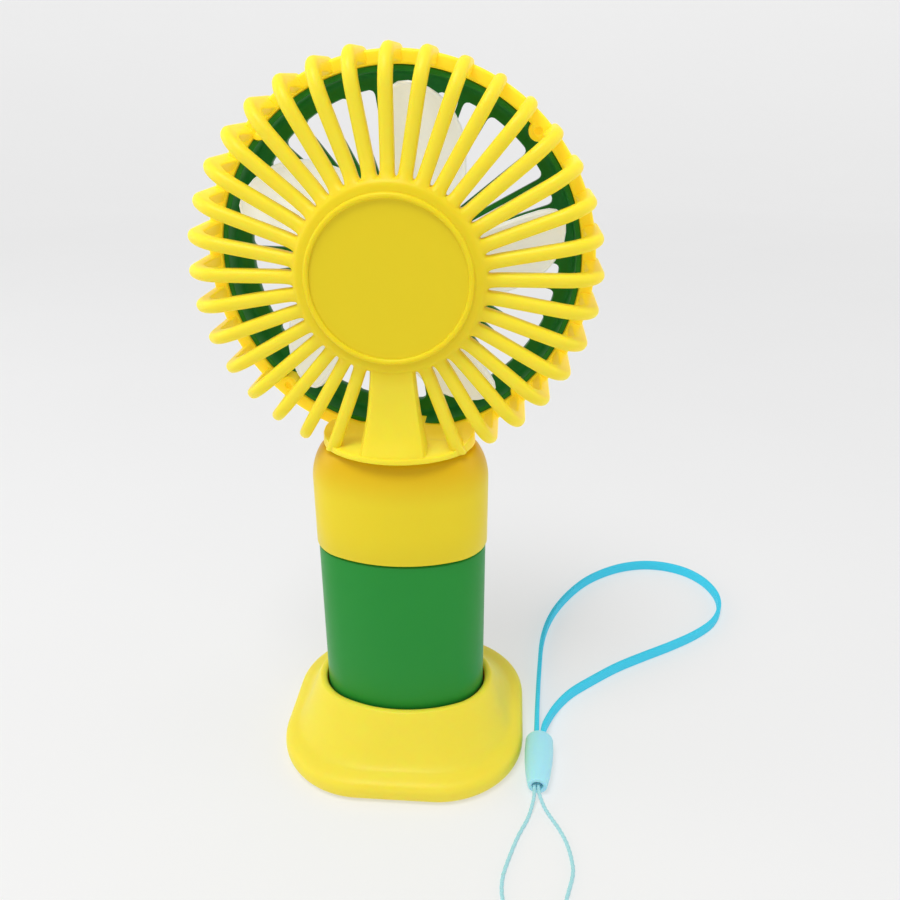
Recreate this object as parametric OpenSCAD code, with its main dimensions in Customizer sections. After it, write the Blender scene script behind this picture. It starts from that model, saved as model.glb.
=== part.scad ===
// Handheld electric fan: a caged five-blade fan head on an oval handle that stands in a
// moulded dock, with its wrist strap lying beside it. The dock stands on z = 0 with its
// centre over the origin. The fan blows towards -Y; its ribbed yellow back faces +Y.

/* [Head] */
// Height of the fan's turning axis above the surface
head_z = 130.4; // [126:0.2:136]
// Outer radius of the yellow ring
ring_r = 45.2; // [44:0.1:46]
// How far the ribs stand out of the ring
rib_proud = 1.1; // [0.6:0.1:1.5]
// Thickness of one rear rib
rib_w = 3; // [2:0.1:3.4]
// Ribs on each side of the top one; the neck takes the place of the last ones
ribs_each_side = 16; // [12:1:16]
// Angle from one rib to the next
rib_step = 10; // [9:0.5:10]
// Radius of the rear hub
hub_r = 21.1; // [20:0.1:22]
// Radius of the opening's inner edge in the front grille
front_open_r = 37.5; // [36:0.1:38]
// Number of front ribs
front_ribs = 36; // [24:1:40]
// Thickness of one front rib
front_rib_w = 1.2; // [1:0.1:1.6]

/* [Impeller] */
// Radius at the blade tips
blade_tip_r = 39.2; // [37:0.1:39.3]
// Number of blades
blades = 5; // [3:1:5]
// Pitch of a blade
blade_pitch = 26; // [20:1:30]
// Thickness of a blade
blade_t = 1.2; // [0.9:0.1:1.5]

/* [Handle] */
// Half the handle's width
grip_a = 21.8; // [21.4:0.1:23]
// Half the handle's depth
grip_b = 14.7; // [14.7:0.1:15.5]
// Radius of the oval's two ends
grip_end_r = 12.5; // [12:0.1:13]
// Height of the seam between the barrel and the upper shell
seam_z = 62; // [60:0.5:66]
// Wall thickness of the handle's shells
wall = 1.8; // [1.6:0.1:2]
// How far the barrel's surface lies inside the upper shell's
barrel_step = 0.4; // [0.2:0.1:0.5]

/* [Dock] */
// Width of the dock's foot
dock_w = 65.9; // [64:0.1:70]
// Depth of the dock's foot
dock_d = 63.9; // [62:0.1:70]
// Radius of the foot's corners in plan
dock_corner_r = 23.4; // [20:0.1:26]
// Height of the collar that holds the handle
collar_z = 18.8; // [16:0.1:20]

/* [Strap] */
// Width of the wrist ribbon, which lies on its edge
ribbon_w = 3.4; // [3:0.1:4]
// Thickness of the ribbon
ribbon_t = 1; // [0.8:0.1:1.2]
// Thickness of the string
string_d = 1; // [0.8:0.1:1.2]

/* [Hidden] */
$fn = 96;
eps = 0.01;
fit_gap = 0.02;

yellow = [0.95, 0.86, 0.16];
green = [0.12, 0.5, 0.22];
pale_grey = [0.88, 0.89, 0.87];
steel = [0.72, 0.73, 0.75];
copper = [0.78, 0.45, 0.22];
black = [0.1, 0.1, 0.11];
cyan = [0.24, 0.8, 0.92];

// Head: y values along the turning axis, from the rear (+) to the front (-)
hub_face_y = 14.2;
hub_floor_y = 12.9;
hub_low_y = 8.4;
badge_seat_y = 13.5;
badge_r = 17.2;
bead_r = 0.6;
rib_rear_y = 11.8;
rib_depth = 3;
ring_rear_y = -5.7;
ring_front_y = -10.6;
ring_in_r = 42.1;
rib_out_r = ring_r + rib_proud;
rib_corner_r = 8.3;
rib_side_depth = 4;
front_y = -17.4;
front_wall = 2.4;
front_hub_r = 14;
front_hub_y = -18.2;
skirt_r = ring_in_r - 0.15;
skirt_wall = 1.2;
skirt_y = -6.4;
boss_angles = [47, 137, -47, -137];
boss_r = 2.2;
boss_at_r = 42.3;
pin_r = 1;
pin_end_y = -7.2;

// Motor
motor_r = 10.6;
motor_wall = 0.7;
motor_front_y = -1;
motor_rear_y = 9.5;
motor_cap_y = 11.3;
motor_nose_y = -2.2;
motor_nose_r = 3;
bushing_r = 2;
shaft_r = 1;
shaft_bore_r = 1.03;
cup_in_r = 10.8;
cup_out_r = 12.4;
cup_front_y = -0.6;
magnet_in_r = 8;
armature_r = 7.6;
slot_at_r = 4.6;
slot_r = 2.2;
commutator_r = 2.6;
retainer_y = -1.6;
retainer_screw_at = 13.9;
retainer_screw_r = 0.8;

// Impeller
impeller_hub_r = 13;
impeller_rear_y = -3.2;
impeller_front_y = -12.4;

// Neck
neck_z = 89.1;
neck_plate = 1.5;
neck_a = 18.4;
neck_b = 15;
neck_end_r = 13;
cheek_h = 3.2;
duct_rear_y = 18;
spigot_a = 13;
spigot_b = 8.6;
spigot_end_r = 8;
spigot_z = 80.4;
duct_w_top = 10.3;
duct_w_low = 17;
duct_bore_w = 6.4;
duct_low_y = 8.6;
neck_screw_x = 9.6;

// Handle
grip_y = 2.6;
grip_top_z = 88.7;
shoulder_z = 79.7;
shoulder_r = 15;
grip_low_z = 4.3;
cap_z = 5.8;
tongue_z = 57;
tongue_wall = 1.5;
tongue_gap = 0.15;
tongue_inset = barrel_step + wall + tongue_gap;
cell_r = 9.1;
cell_y = 5.6;
cell_low_z = 11.6;
cell_top_z = 76.6;
board_front_y = -6.6;
board_rear_y = -5.4;
board_low_z = 16;
board_top_z = 78;
board_w = 21;
button_z = 71.5;
button_r = 5.5;
button_face_y = -13;
plunger_face_y = -8.6;
led_z = 50;
led_xs = [-6, -2, 2, 6];
pipe_r = 0.8;
usb_z = 27;
usb_w = 8.94;
usb_h = 3.26;
chassis_low_z = 8.4;
chassis_top_z = 80;
chassis_h = chassis_top_z - chassis_low_z;
cap_screw_x = 13;

// Dock
dock_foot_z = 0.7;
socket_gap = 0.25;
socket_floor_z = 4;
dock_screw_at = 19.5;
// Height, share of the way from the square foot to the oval collar, and inset of each
// level of the dock's outside, from its bottom edge to the collar's rounded lip
dock_levels = [
    [0.7, 0, 1.3], [1.1, 0, 0.5], [1.9, 0, 0.1], [3, 0, 0], [4.4, 0, 0.2], [5.3, 0, 0.75],
    [5.9, 0.03, 1.3], [6.3, 0.1, 1.5], [6.6, 0.18, 1.55], [7, 0.27, 1.4], [7.8, 0.37, 1.2],
    [9.2, 0.49, 0.95], [11, 0.61, 0.7], [13, 0.73, 0.45], [15, 0.84, 0.2], [17, 0.94, 0.1],
    [18.1, 0.99, 0.12], [18.6, 1, 0.35], [collar_z, 1, 1]
];
dock_hollow_levels = [
    [0.5, 0, 3.6], [3.2, 0, 3.6], [3.9, 0.1, 4], [4.6, 0.25, 4.2], [6, 0.42, 3.9],
    [8, 0.58, 3.5], [10.5, 0.72, 3.2], [13, 0.86, 2.9], [16, 1, 2.6]
];
collar_wall = 2.4;

// Strap: the bead's axis runs from bead_top to bead_low; the ribbon leaves its upper end,
// swings round in one wide loop and comes home to it, and the string loops from its lower end
bead_top = [-37.6, 7, 3.9];
bead_low = [-36.4, 28, 2.8];
ribbon_route = [
    [-36.8, 14, 3.7], [-36.8, 7, 3.7], [-37.1, 0, 2.4], [-37.5, -8, 1.8], [-38.4, -22, 1.8],
    [-39.8, -37, 1.8], [-43.2, -50, 1.8], [-49, -62, 1.8], [-57, -73, 1.8], [-67, -81, 1.8],
    [-77, -85, 1.8], [-86, -85, 1.8], [-94, -81.5, 1.8], [-99.5, -75, 1.8],
    [-102, -66.5, 1.8], [-101, -58, 1.8], [-97, -50, 1.8], [-90, -43, 1.8],
    [-81, -36.5, 1.8], [-71.5, -30.5, 1.8], [-62.5, -24.5, 1.8], [-54, -17.5, 1.8],
    [-47.5, -11.5, 1.8], [-43.2, -5.6, 1.8], [-40.4, 0.5, 2.4], [-38.6, 7, 3.7],
    [-38.2, 14, 3.7]
];
string_route = [
    [-35.8, 24.5, 2.9], [-35.8, 28, 2.7], [-35.2, 31, 1.4], [-34, 34.6, 0.6],
    [-31.6, 40, 0.5], [-29.4, 46.5, 0.5], [-28, 52, 0.5], [-28.1, 57, 0.5],
    [-29.6, 61, 0.5], [-32.6, 64, 0.5], [-36, 65, 0.5], [-39.2, 63.4, 0.5],
    [-41.4, 59.5, 0.5], [-43, 54.6, 0.5], [-44.4, 49.4, 0.5], [-44.3, 45.4, 0.5],
    [-43.4, 41, 0.5], [-41.8, 37, 0.5], [-39.8, 33.6, 0.7], [-38.2, 31, 1.4],
    [-37, 28, 2.7], [-36.9, 24.5, 2.9]
];
lead_r = 0.65;
lead_x = 2;

// ---- plan outlines and swept solids ----

// Distance from an oval's centre to the centre of each of its two flat arcs
function flat_arc_offset(a, b, r) = ((a - r) * (a - r) - (b - r) * (b - r)) / (2 * (b - r));

// The point of a four-arc oval where its outward normal stands at angle t
function oval_point(t, a, b, r) =
    let (c = a - r, k = flat_arc_offset(a, b, r), big = k + b, turn = atan2(k, c))
    cos(t) >= cos(turn) ? [c + r * cos(t), r * sin(t)]
    : cos(t) <= -cos(turn) ? [r * cos(t) - c, r * sin(t)]
    : sin(t) > 0 ? [big * cos(t), big * sin(t) - k]
    : [big * cos(t), big * sin(t) + k];

// The point of a rounded rectangle where its outward normal stands at angle t
function rounded_point(t, w, d, r) = [
    sign(cos(t)) * (w / 2 - r) + r * cos(t),
    sign(sin(t)) * (d / 2 - r) + r * sin(t)
];

function half_steps(n) = [for (i = [0:n - 1]) (i + 0.5) * 360 / n];

module oval(a, b, r) {
    polygon([for (t = half_steps(96)) oval_point(t, a, b, r)]);
}

module rounded_plate(w, d, r) {
    polygon([for (t = half_steps(72)) rounded_point(t, w, d, r)]);
}

// The handle's oval, moved inwards by inset
module grip_oval(inset) {
    translate([0, grip_y]) oval(grip_a - inset, grip_b - inset, grip_end_r - inset);
}

module grip_prism(inset, low, high) {
    translate([0, 0, low]) linear_extrude(high - low) grip_oval(inset);
}

// A closed skin over rings of points, all with the same count, ends capped
module skin(rings) {
    n = len(rings[0]);
    m = len(rings);
    sides = [
        for (i = [0:m - 2], j = [0:n - 1], half = [0, 1])
            half == 0 ? [i * n + j, (i + 1) * n + j, i * n + (j + 1) % n]
            : [i * n + (j + 1) % n, (i + 1) * n + j, (i + 1) * n + (j + 1) % n]
    ];
    low_cap = [for (j = [0:n - 1]) j];
    high_cap = [for (j = [n - 1:-1:0]) (m - 1) * n + j];
    polyhedron([for (ring = rings) each ring], concat([low_cap], sides, [high_cap]));
}

function unit(v) = v / norm(v);

function route_way(route, i) =
    unit(route[min(i + 1, len(route) - 1)] - route[max(i - 1, 0)]);

// One ring of a sweep: the section's points set square to the route at its point i
function sweep_ring(route, i, section, up) =
    let (way = route_way(route, i), side = unit(cross(up, way)), top = cross(way, side))
    [for (p = section) route[i] + p[0] * side + p[1] * top];

module sweep(route, section, up) {
    skin([for (i = [0:len(route) - 1]) sweep_ring(route, i, section, up)]);
}

function round_section(r) = [for (t = [22.5:45:360]) r * [cos(t), sin(t)]];

function band_section(w, t) = [
    for (p = [[0.5, -0.36], [0.5, 0.36], [0.28, 0.5], [-0.28, 0.5],
              [-0.5, 0.36], [-0.5, -0.36], [-0.28, -0.5], [0.28, -0.5]])
        [p[0] * t, p[1] * w]
];

// A route with one more point between each two, on a smooth curve through them
function finer(p) = [
    for (i = [0:len(p) - 2], half = [0, 1])
        half == 0 ? p[i]
        : (9 * (p[i] + p[i + 1]) - p[max(i - 1, 0)] - p[min(i + 2, len(p) - 1)]) / 16,
    p[len(p) - 1]
];

// ---- the head's own frame: +Z of the children runs to the rear along the turning axis ----

module on_head() {
    translate([0, 0, head_z]) rotate([-90, 0, 0]) children();
}

// Turns +X of the children to an angle clockwise from the top, as seen from the rear
module at_clock(angle) {
    rotate([0, 0, -90 - angle]) children();
}

module tube(r_out, r_in, low, high) {
    translate([0, 0, low]) difference() {
        cylinder(r = r_out, h = high - low);
        translate([0, 0, -1]) cylinder(r = r_in, h = high - low + 2);
    }
}

module rod(r, low, high) {
    translate([0, 0, low]) cylinder(r = r, h = high - low);
}

// A vertical screw: its head at z = 0, its shank running up
module screw(shank_r, length, head_r, head_h) {
    difference() {
        cylinder(r = head_r, h = head_h);
        translate([0, 0, -eps]) cylinder(r = head_r * 0.45, h = head_h * 0.5, $fn = 6);
    }
    rod(shank_r, head_h - eps, head_h + length);
}

// ---- head: shells ----

// Side view of one rib: out from the hub, round the corner, and forward over the ring
module rib_side() {
    corner_x = rib_out_r - rib_corner_r;
    corner_y = rib_rear_y - rib_corner_r;
    inner_r = rib_corner_r - rib_side_depth;
    rib_front_y = ring_front_y + 0.8;
    difference() {
        union() {
            translate([hub_r - 2, corner_y]) square([corner_x - hub_r + 2, rib_corner_r]);
            translate([corner_x, corner_y]) circle(r = rib_corner_r);
            translate([corner_x - 1, rib_front_y])
                square([rib_corner_r + 1, corner_y - rib_front_y]);
        }
        translate([0, rib_front_y - 1])
            square([corner_x, rib_rear_y - rib_depth - rib_front_y + 1]);
        translate([corner_x - 2, rib_front_y - 1])
            square([inner_r + 2, corner_y - rib_front_y + 1]);
        translate([corner_x, corner_y]) circle(r = inner_r);
    }
}

module rear_ribs() {
    for (i = [-ribs_each_side:ribs_each_side])
        at_clock(rib_step * i)
            rotate([90, 0, 0])
                translate([0, 0, -rib_w / 2]) linear_extrude(rib_w) rib_side();
}

module rear_hub() {
    rotate_extrude() {
        polygon([
            [0, hub_floor_y], [hub_r - wall, hub_floor_y],
            [hub_r - wall, hub_low_y], [hub_r, hub_low_y],
            [hub_r, 12], [hub_r - 0.7, 13.4], [hub_r - 1.9, hub_face_y],
            [badge_r, hub_face_y], [badge_r, badge_seat_y], [0, badge_seat_y]
        ]);
        translate([badge_r + 0.5, hub_face_y - 0.1]) circle(r = bead_r, $fn = 32);
    }
    tube(cup_out_r, cup_in_r, cup_front_y, hub_floor_y + eps);
    for (s = [-1, 1])
        translate([s * retainer_screw_at, 0, 0])
            tube(1.9, retainer_screw_r + fit_gap, cup_front_y, hub_floor_y + eps);
}

module rear_ring() {
    tube(ring_r, ring_in_r, ring_front_y, ring_rear_y);
    for (a = boss_angles)
        at_clock(a) translate([boss_at_r, 0, 0]) rod(boss_r, ring_front_y, ring_rear_y);
}

// Plan outline of the lead duct, which widens from the hub down to the neck
module duct_face() {
    polygon([
        [-duct_w_top / 2, -hub_r + 2], [duct_w_top / 2, -hub_r + 2],
        [duct_w_low / 2, neck_z - head_z], [-duct_w_low / 2, neck_z - head_z]
    ]);
}

// Side outline of the duct: it leans back from the hub to the neck's rear lip
module duct_side() {
    polygon([
        [duct_low_y, -hub_r + 3], [13.2, -hub_r + 3], [12.9, -30], [14.6, -36.5],
        [17.2, neck_z - head_z], [duct_low_y, neck_z - head_z]
    ]);
}

module duct() {
    intersection() {
        translate([0, 30, head_z]) rotate([90, 0, 0]) linear_extrude(40) duct_face();
        translate([-12, 0, head_z])
            rotate([90, 0, 90]) linear_extrude(24) duct_side();
    }
}

module duct_bore() {
    translate([-duct_bore_w / 2, 0, head_z])
        rotate([90, 0, 90]) linear_extrude(duct_bore_w) polygon([
            [10.2, -9], [12.88, -9], [12.6, -hub_r + 1], [12.1, -30], [12.8, -37],
            [5.6, spigot_z - head_z - 1],
            [-3.4, spigot_z - head_z - 1], [-2.6, neck_z - head_z - 1],
            [6.2, neck_z - head_z + 0.5], [9.8, -35], [10.2, -27]
        ]);
}

module neck() {
    translate([0, grip_y, neck_z]) linear_extrude(neck_plate) oval(neck_a, neck_b, neck_end_r);
    translate([0, grip_y, spigot_z])
        linear_extrude(neck_z - spigot_z + eps) oval(spigot_a, spigot_b, spigot_end_r);
}

// The plate's two ends rise to the ring and follow its inside
module neck_cheeks() {
    difference() {
        translate([0, grip_y, neck_z]) linear_extrude(cheek_h) oval(neck_a, neck_b, neck_end_r);
        on_head() rod(ring_in_r, ring_front_y - 10, duct_rear_y);
        translate([-neck_a, -neck_b * 2, neck_z - 1])
            cube([neck_a * 2, neck_b * 2 + ring_front_y + eps, cheek_h + 2]);
    }
}

// The two lowest ribs run straight down into the neck's lip
module neck_ribs() {
    for (s = [-1, 1])
        at_clock(rib_step * ribs_each_side * s)
            rotate([90, 0, 0])
                translate([0, 0, -rib_w / 2]) linear_extrude(rib_w) polygon([
                    [34, 8.8], [34, 11.8], [37, 11.75], [39.5, 11.5], [41.5, 11.1],
                    [44.8, 10.1], [44.8, 7.1], [41, 8.3]
                ]);
}

module rear_grille() {
    color(yellow) difference() {
        union() {
            difference() {
                on_head() {
                    rear_ribs();
                    neck_ribs();
                    rear_hub();
                    rear_ring();
                }
                translate([-60, -60, neck_z - 30]) cube([120, 120, 30]);
            }
            duct();
            neck();
            neck_cheeks();
        }
        duct_bore();
        on_head() {
            rod(cup_in_r, cup_front_y - 1, hub_floor_y);
            rod(blade_tip_r + 0.6, impeller_front_y - 1, -2);
            for (a = boss_angles)
                at_clock(a) translate([boss_at_r, 0, 0]) {
                    rod(pin_r + fit_gap, ring_front_y - 1, pin_end_y + 0.2);
                    rod(0.8, ring_rear_y - 0.6, ring_rear_y + 1);
                }
        }
        for (s = [-1, 1])
            translate([s * neck_screw_x, grip_y, 0])
                rod(1 + fit_gap, spigot_z - 1, spigot_z + 7.4);
    }
}

module rear_badge() {
    color(yellow) on_head() rod(badge_r - 0.15, badge_seat_y + 0.01, badge_seat_y + 0.6);
}

// Section of the green rim: a skirt inside the yellow ring, a rounded shoulder, a flat face
module rim_section() {
    turn = 7.4;
    intersection() {
        difference() {
            translate([ring_r - 0.2 - turn, front_y + turn]) circle(r = turn);
            translate([ring_r - 0.2 - turn, front_y + turn]) circle(r = turn - front_wall);
        }
        translate([ring_r - 0.2 - turn, front_y - 1]) square([turn + 1, turn + 1 + 0.6]);
    }
    translate([front_open_r, front_y]) square([ring_r - turn - front_open_r, front_wall]);
    translate([skirt_r - skirt_wall, ring_front_y - 1])
        square([skirt_wall, skirt_y - ring_front_y + 1]);
}

module front_grille() {
    color(green) difference() {
        on_head() {
            difference() {
                rotate_extrude() rim_section();
                translate([0, 0, ring_front_y])
                    tube(ring_r + 2, skirt_r, 0, 10);
                for (a = boss_angles)
                    at_clock(a)
                        translate([boss_at_r, 0, 0]) rod(boss_r + 0.2, ring_front_y, 0);
            }
            for (a = boss_angles)
                at_clock(a)
                    translate([boss_at_r, 0, 0]) rod(pin_r, ring_front_y - 1.5, pin_end_y);
            for (i = [0:front_ribs - 1])
                at_clock(360 * i / front_ribs + 1.5)
                    translate([front_hub_r - 1, -front_rib_w / 2, front_y])
                        cube([front_open_r - front_hub_r + 1.6, front_rib_w, 2.2]);
            difference() {
                rod(front_hub_r, front_hub_y, front_y + 2.4);
                rod(front_hub_r - 2, front_hub_y - 1, front_hub_y + 0.8);
            }
        }
        grip_prism(-0.5, 70, neck_z - 0.2);
        translate([0, grip_y, neck_z - 1])
            linear_extrude(neck_plate + 1.3) oval(neck_a + 0.3, neck_b + 0.3, neck_end_r + 0.3);
    }
}

module front_badge() {
    color(yellow) on_head() rod(front_hub_r - 2.1, front_hub_y, front_hub_y + 0.8);
}

// ---- head: motor ----

module motor_can() {
    color(steel) on_head() {
        tube(motor_r, motor_r - motor_wall, motor_front_y, motor_rear_y);
        tube(motor_r, bushing_r + fit_gap, motor_front_y, motor_front_y + motor_wall);
        tube(motor_nose_r, bushing_r + fit_gap, motor_nose_y, motor_front_y + eps);
    }
}

module motor_end_cap() {
    color(black) on_head() difference() {
        union() {
            tube(motor_r, bushing_r + fit_gap, motor_rear_y, motor_cap_y);
            tube(motor_r - motor_wall - 0.05, 5.4, motor_rear_y - 0.9, motor_rear_y + eps);
        }
        for (s = [-1, 1])
            translate([s * 5.6 - 1.1, -0.4, motor_rear_y - 2]) cube([2.2, 0.8, 5]);
    }
}

module motor_magnets() {
    color([0.25, 0.25, 0.27]) on_head() difference() {
        tube(motor_r - motor_wall - 0.05, magnet_in_r, 0.2, 8);
        for (s = [-1, 1])
            translate([-3, s * 9 - 3, -1]) cube([6, 6, 12]);
    }
}

module motor_bushings() {
    color(copper) on_head() {
        tube(bushing_r, shaft_bore_r, motor_nose_y, motor_front_y + 1.2);
        tube(bushing_r, shaft_bore_r, motor_rear_y + 0.2, motor_cap_y);
    }
}

// Two spring arms that bear on the commutator and come out of the end cap as solder tags
module motor_brushes() {
    color(copper) on_head() for (s = [-1, 1]) {
        translate([s * 5.6 - 1, -0.3, motor_rear_y - 0.8]) cube([2, 0.6, 3.7]);
        translate([s > 0 ? commutator_r + 0.05 : -6.6, -0.3, motor_rear_y - 1.3])
            cube([6.6 - commutator_r - 0.05, 0.6, 0.6]);
    }
}

module motor_retainer() {
    color(pale_grey) on_head() difference() {
        union() {
            rod(cup_out_r, retainer_y, cup_front_y);
            for (s = [-1, 1])
                translate([s * retainer_screw_at, 0, 0]) rod(1.9, retainer_y, cup_front_y);
        }
        rod(motor_r + fit_gap, motor_front_y, cup_front_y + 1);
        rod(motor_nose_r + 0.3, retainer_y - 1, cup_front_y + 1);
        for (s = [-1, 1])
            translate([s * retainer_screw_at, 0, 0])
                rod(retainer_screw_r + fit_gap, retainer_y - 1, cup_front_y + 1);
    }
}

module retainer_screws() {
    color(steel) on_head() for (s = [-1, 1])
        translate([s * retainer_screw_at, 0, retainer_y - 0.7])
            screw(retainer_screw_r, 6, 1.5, 0.7);
}

module motor_shaft() {
    color(steel) on_head() rod(shaft_r, impeller_front_y + 0.8, motor_cap_y + 0.3);
}

module armature_core() {
    color(steel) on_head() difference() {
        tube(armature_r, shaft_r + fit_gap, 1, 6);
        for (a = [0:120:359])
            rotate([0, 0, a]) {
                translate([armature_r - 2, -0.8, 0]) cube([3, 1.6, 8]);
                translate([slot_at_r, 0, 0]) rod(slot_r, 0, 8);
            }
    }
}

// One coil round each of the core's three arms, its sides in the slots
module armature_windings() {
    color(copper) on_head() for (a = [0:120:359])
        rotate([0, 0, a + 60]) difference() {
            translate([2.2, -3.2, 0.3]) cube([1.3, 6.4, 6.4]);
            translate([2, -2.3, 0.98]) cube([2, 4.6, 5.04]);
        }
}

module commutator() {
    color(copper) on_head() difference() {
        tube(commutator_r, shaft_r + fit_gap, 7, 9.2);
        for (a = [0:120:359])
            rotate([0, 0, a]) translate([1.8, -0.15, 6]) cube([2, 0.3, 4]);
    }
}

// Outline of one paddle blade, seen along the axis before it is pitched
module blade_outline() {
    polygon([
        [-0.9, 9], [-0.9, 33.5], [-0.3, 36.6], [1.6, 38.6], [4.4, 38.8], [8.4, 37.6],
        [12.6, 34.6], [15.6, 30.8], [17.1, 26.6], [17.3, 20], [16, 14], [12.4, 8]
    ]);
}

module impeller() {
    color(pale_grey) on_head() difference() {
        union() {
            difference() {
                rod(impeller_hub_r, impeller_front_y, impeller_rear_y);
                tube(impeller_hub_r - 1.4, 4.4, impeller_front_y + 1.6, impeller_rear_y + 1);
            }
            for (i = [0:blades - 1])
                at_clock(360 / blades * i - 2)
                    translate([0, 0, impeller_rear_y - 0.7])
                        rotate([blade_pitch, 0, 0])
                            translate([0, 0, -blade_t])
                                linear_extrude(blade_t)
                                    rotate([0, 0, -90]) blade_outline();
        }
        rod(shaft_r + fit_gap, impeller_front_y + 0.8, impeller_rear_y + 1);
        tube(impeller_hub_r - 1.4, 4.4, impeller_front_y + 1.6, impeller_rear_y + 3);
    }
}

// ---- leads ----

// Depth and height below the axis of the two motor leads on their way down the duct
lead_down = [
    [12.1, 0], [12.1, -3.4], [12.1, -8], [12.1, -13], [11.7, -20], [11.2, -27],
    [11.3, -34], [10, -39], [6, -43.5], [1.6, -48], [-1.4, -51.6]
];

function motor_lead_route(s) = concat(
    [for (p = lead_down) [s * (p[1] > -4 ? 5.6 + p[1] * 0.6 : lead_x), p[0], head_z + p[1]]],
    [[s * 2.6, -3.3, 76.9], [s * 4, -4.5, 75.6], [s * 5.5, -4.7, 74.4]]
);

// Each cell lead runs from its tab to the board's rear
cell_lead_route_red = [
    [5, 1, 77.56], [7.6, -1.4, 77.5], [9.2, -3.2, 76.2], [9.4, -4.4, 74.6], [9.4, -4.7, 72.8]
];
cell_lead_route_black = [
    [-5, 1, 10.64], [-7.4, -1.4, 10.7], [-9.2, -3.2, 12], [-9.4, -4.4, 14.4], [-9.4, -4.7, 17.6]
];

module lead(route) {
    sweep(route, round_section(lead_r), [1, 0, 0]);
}

module motor_lead_red() {
    color("red") lead(motor_lead_route(1));
}

module motor_lead_black() {
    color(black) lead(motor_lead_route(-1));
}

module battery_lead_red() {
    color("red") sweep(cell_lead_route_red, round_section(lead_r), [0.3, 1, 0.2]);
}

module battery_lead_black() {
    color(black) sweep(cell_lead_route_black, round_section(lead_r), [0.3, 1, -0.2]);
}

// ---- handle ----

// How far the shoulder has drawn in at height z
function shoulder_inset(z) =
    z <= shoulder_z ? 0 : shoulder_r - sqrt(shoulder_r * shoulder_r - pow(z - shoulder_z, 2));

module shoulder_form(inset, low, top) {
    hull() {
        grip_prism(inset, low, shoulder_z);
        for (i = [1:5]) {
            z = shoulder_z + (top - 0.8 - shoulder_z) * i / 5;
            grip_prism(inset + shoulder_inset(z), z - eps, z);
        }
        grip_prism(inset + shoulder_inset(top - 0.8) + 0.9, top - eps, top);
    }
}

module upper_shell() {
    color(yellow) difference() {
        union() {
            difference() {
                shoulder_form(0, seam_z, grip_top_z);
                shoulder_form(wall, seam_z - 1, grip_top_z - wall);
            }
            difference() {
                union() {
                    grip_prism(tongue_inset, tongue_z, seam_z + 4);
                    grip_prism(wall - eps, seam_z + 1, seam_z + 4);
                }
                grip_prism(tongue_inset + tongue_wall, tongue_z - 1, seam_z + 5);
                translate([-12, -20, tongue_z - 1]) cube([24, 40, 12]);
            }
        }
        translate([0, grip_y, grip_top_z - 4])
            linear_extrude(8) oval(spigot_a + 0.15, spigot_b + 0.15, spigot_end_r + 0.15);
        translate([0, 0, button_z]) rotate([90, 0, 0]) rod(button_r + 0.12, 5, 20);
    }
}

module barrel() {
    color(green) difference() {
        grip_prism(barrel_step, cap_z, seam_z);
        grip_prism(barrel_step + wall, cap_z - 1, seam_z + 1);
        for (x = led_xs)
            translate([x, 0, led_z]) rotate([90, 0, 0]) rod(pipe_r + 0.03, 5, 20);
        translate([0, 0, usb_z]) rotate([90, 0, 0])
            linear_extrude(20) rounded_plate(usb_w + 0.4, usb_h + 0.4, (usb_h + 0.4) / 2 - eps);
    }
}

module end_cap() {
    color(green) difference() {
        union() {
            grip_prism(barrel_step + 0.6, grip_low_z, grip_low_z + 0.6);
            grip_prism(barrel_step, grip_low_z + 0.6, cap_z);
            grip_prism(barrel_step + wall + 0.1, cap_z - eps, chassis_low_z - 0.1);
        }
        difference() {
            translate([-4.5, -7.6, grip_low_z - 1]) cube([9, 4.4, 3.9]);
            translate([0, -8, grip_low_z + 1]) rotate([-90, 0, 0]) rod(0.8, 0, 6);
        }
        for (s = [-1, 1])
            translate([s * cap_screw_x, grip_y, 0]) {
                rod(1.2, 0, 20);
                rod(2.2, grip_low_z - 1, grip_low_z + 1.6);
            }
    }
}

module end_cap_screws() {
    color(steel) for (s = [-1, 1])
        translate([s * cap_screw_x, grip_y, grip_low_z + 0.5]) screw(1, 6.4, 2, 1.1);
}

module chassis() {
    color(pale_grey) difference() {
        union() {
            translate([-12.5, -5.3, chassis_low_z]) cube([25, 1.2, chassis_h]);
            for (s = [-1, 1]) {
                translate([s * 11.6 - 0.9, -6.9, chassis_low_z]) cube([1.8, 2.5, 47]);
                translate([s * 10.3 - 0.7, -4.2, chassis_low_z]) cube([1.4, 13, chassis_h]);
                translate([s * cap_screw_x, grip_y, 0]) rod(2.3, chassis_low_z, 18);
            }
            translate([-15.3, -5, chassis_low_z]) cube([30.6, 15, 1.4]);
            translate([-14, -5.3, chassis_top_z - 1.6]) cube([28, 15.8, 1.6]);
        }
        translate([0, cell_y, 0]) rod(cell_r + 0.2, cell_low_z - 0.4, cell_top_z + 0.4);
        translate([-4.4, -4, chassis_top_z - 3]) cube([8.8, 5.2, 6]);
        translate([-7, -6, chassis_top_z - 7]) cube([14, 3, 5]);
        for (s = [-1, 1]) {
            translate([s * cap_screw_x, grip_y, 0]) rod(1 + fit_gap, chassis_low_z - 1, 14);
            translate([s * neck_screw_x, grip_y, 0]) {
                rod(1 + fit_gap, chassis_top_z - 2, chassis_top_z + 1);
                rod(2.3, chassis_top_z - 6, chassis_top_z - 1.5);
            }
            translate([s * 9.4, -2, 0]) cube([5, 8, 40], center = true);
        }
        translate([9.4, -4, 74]) cube([4.4, 6, 8], center = true);
    }
}

module neck_screws() {
    color(steel) for (s = [-1, 1])
        translate([s * neck_screw_x, grip_y, chassis_top_z - 2.5]) screw(1, 8, 1.9, 0.9);
}

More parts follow.
